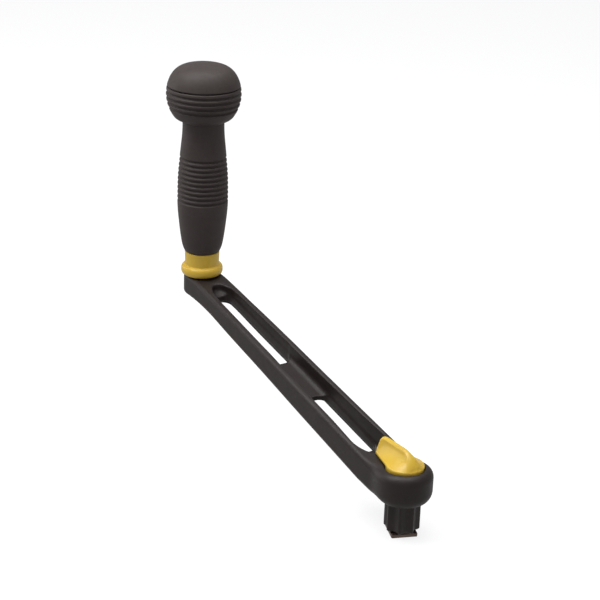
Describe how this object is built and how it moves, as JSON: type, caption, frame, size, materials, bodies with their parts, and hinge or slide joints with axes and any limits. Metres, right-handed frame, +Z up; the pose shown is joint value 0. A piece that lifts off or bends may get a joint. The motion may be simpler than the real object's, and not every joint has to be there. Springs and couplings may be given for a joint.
{
  "type": "winch handle",
  "caption": "Lock-in winch handle: sloped composite arm with windows, star drive with a turning lock plate and thumb lever, and a free-spinning ball-top grip.",
  "frame": {"origin": "on the drive axis, in the plane of the head's underside shoulder, where the star spigot leaves the head", "axes": "+X along the arm from the drive axis towards the grip axis, +Z up along the grip away from the winch, +Y completes the right-handed frame"},
  "size_m": [0.3001, 0.0542, 0.2536],
  "materials": {
    "composite_black": "satin black glass-filled composite",
    "drive_black": "black hard-anodised, satin",
    "grip_black": "matt soft-touch black",
    "yellow_plastic": "warm yellow moulded plastic, low gloss",
    "stainless": "plain stainless steel",
    "plate_bronze": "dull brown-grey metal",
    "acetal_white": "white bearing plastic",
    "core_grey": "dark nylon tube",
    "seal_black": "black nitrile"
  },
  "bodies": {
    "arm": {"crank_arm": "composite_black", "drive_spigot": "drive_black", "shaft_bush": "acetal_white", "shaft_seal": "seal_black", "spring_seat": "stainless", "lock_spring": "stainless", "grip_spindle": "stainless", "spindle_washer": "stainless", "spindle_nut": "stainless", "retaining_washer": "stainless", "retaining_screw": "stainless", "collar_bush": "yellow_plastic", "thrust_washer": "acetal_white"},
    "grip": {"grip_core": "core_grey", "grip_sleeve": "grip_black", "grip_ball": "grip_black", "grip_cap": "grip_black", "lower_bush": "acetal_white", "upper_bush": "acetal_white"},
    "lock": {"lock_lever": "yellow_plastic", "lock_shaft": "stainless", "lever_pin": "stainless", "lock_plate": "plate_bronze", "plate_screw": "stainless"}
  },
  "joints": [
    {"name": "grip_spin", "type": "hinge", "parent": "arm", "child": "grip", "pos_m": [0.254, 0, 0.0894], "axis": [0, 0, 1], "continuous": true},
    {"name": "lock_turn", "type": "hinge", "parent": "arm", "child": "lock", "pos_m": [0, 0, 0], "axis": [0, 0, 1], "range_deg": [-22.5, 0], "stiffness_Nm_per_rad": 0.1, "springref_deg": 17.19, "deforming": ["lock_spring"]}
  ]
}
